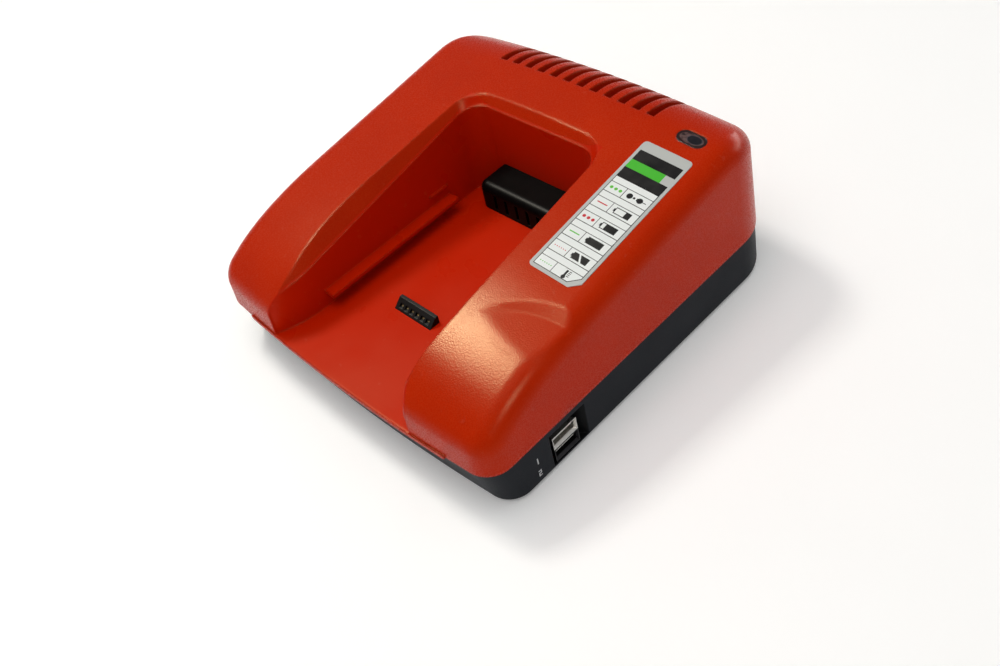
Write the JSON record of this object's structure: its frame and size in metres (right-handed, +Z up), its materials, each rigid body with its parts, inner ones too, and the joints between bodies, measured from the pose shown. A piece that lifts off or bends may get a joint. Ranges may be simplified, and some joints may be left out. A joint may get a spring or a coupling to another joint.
{
  "type": "power tool battery charger",
  "caption": "Desktop battery charger with an open slide-in bay, sloping top with vents, status window and label, side USB outputs and a rear mains inlet.",
  "frame": {"origin": "middle of the bounding box at the underside of the feet", "axes": "+Z up, the bay opens towards -Y, the vents are at +Y, the USB outputs face +X"},
  "size_m": [0.1824, 0.198, 0.0827],
  "materials": {
    "capacitor_sleeve": "sleeved",
    "winding_wire": "enamelled",
    "filter_case": "moulded",
    "fuse_glass": "clear",
    "bright_metal": "tinned",
    "heat_sink": "extruded",
    "circuit_board": "solder mask",
    "screw_steel": "plated",
    "wire_sleeve": "soft",
    "black_housing": "fine satin black",
    "white_print": "printed",
    "black_satin": "satin",
    "plate_film": "film",
    "rubber": "soft",
    "label": "gloss film",
    "led_lens": "diffused",
    "smoked_window": "clear smoked",
    "contact_metal": "plated",
    "black_gloss": "glossy black",
    "ferrite": "sintered",
    "winding_tape": "tape",
    "red_housing": "spark-eroded satin red",
    "tongue_plastic": "moulded",
    "dark_metal": "blackened"
  },
  "bodies": {
    "root": {"board_screws": "screw_steel", "bridge_rectifier": "black_satin", "bulk_capacitor": "capacitor_sleeve", "choke_core": "ferrite", "choke_winding": "winding_wire", "filter_capacitor": "filter_case", "fuse": "fuse_glass", "fuse_clips": "bright_metal", "heat_sink": "heat_sink", "housing_screws": "screw_steel", "inlet_pins": "bright_metal", "inlet_wires": "wire_sleeve", "led_board": "circuit_board", "led_board_screws": "screw_steel", "light_cable": "wire_sleeve", "lower_housing": "black_housing", "main_board": "circuit_board", "mains_inlet": "black_satin", "output_capacitors": "capacitor_sleeve", "port_numbers": "white_print", "ramp_connector": "black_satin", "ramp_strips": "contact_metal", "rating_plate": "plate_film", "rubber_feet": "rubber", "status_label": "label", "status_leds": "led_lens", "status_window": "smoked_window", "switching_transistor": "black_satin", "terminal_blades": "contact_metal", "terminal_block": "black_gloss", "transformer_core": "ferrite", "transformer_winding": "winding_tape", "upper_housing": "red_housing", "usb_board": "circuit_board", "usb_contacts": "contact_metal", "usb_insulators": "tongue_plastic", "usb_shell_lower": "dark_metal", "usb_shell_upper": "bright_metal"}
  },
  "joints": []
}
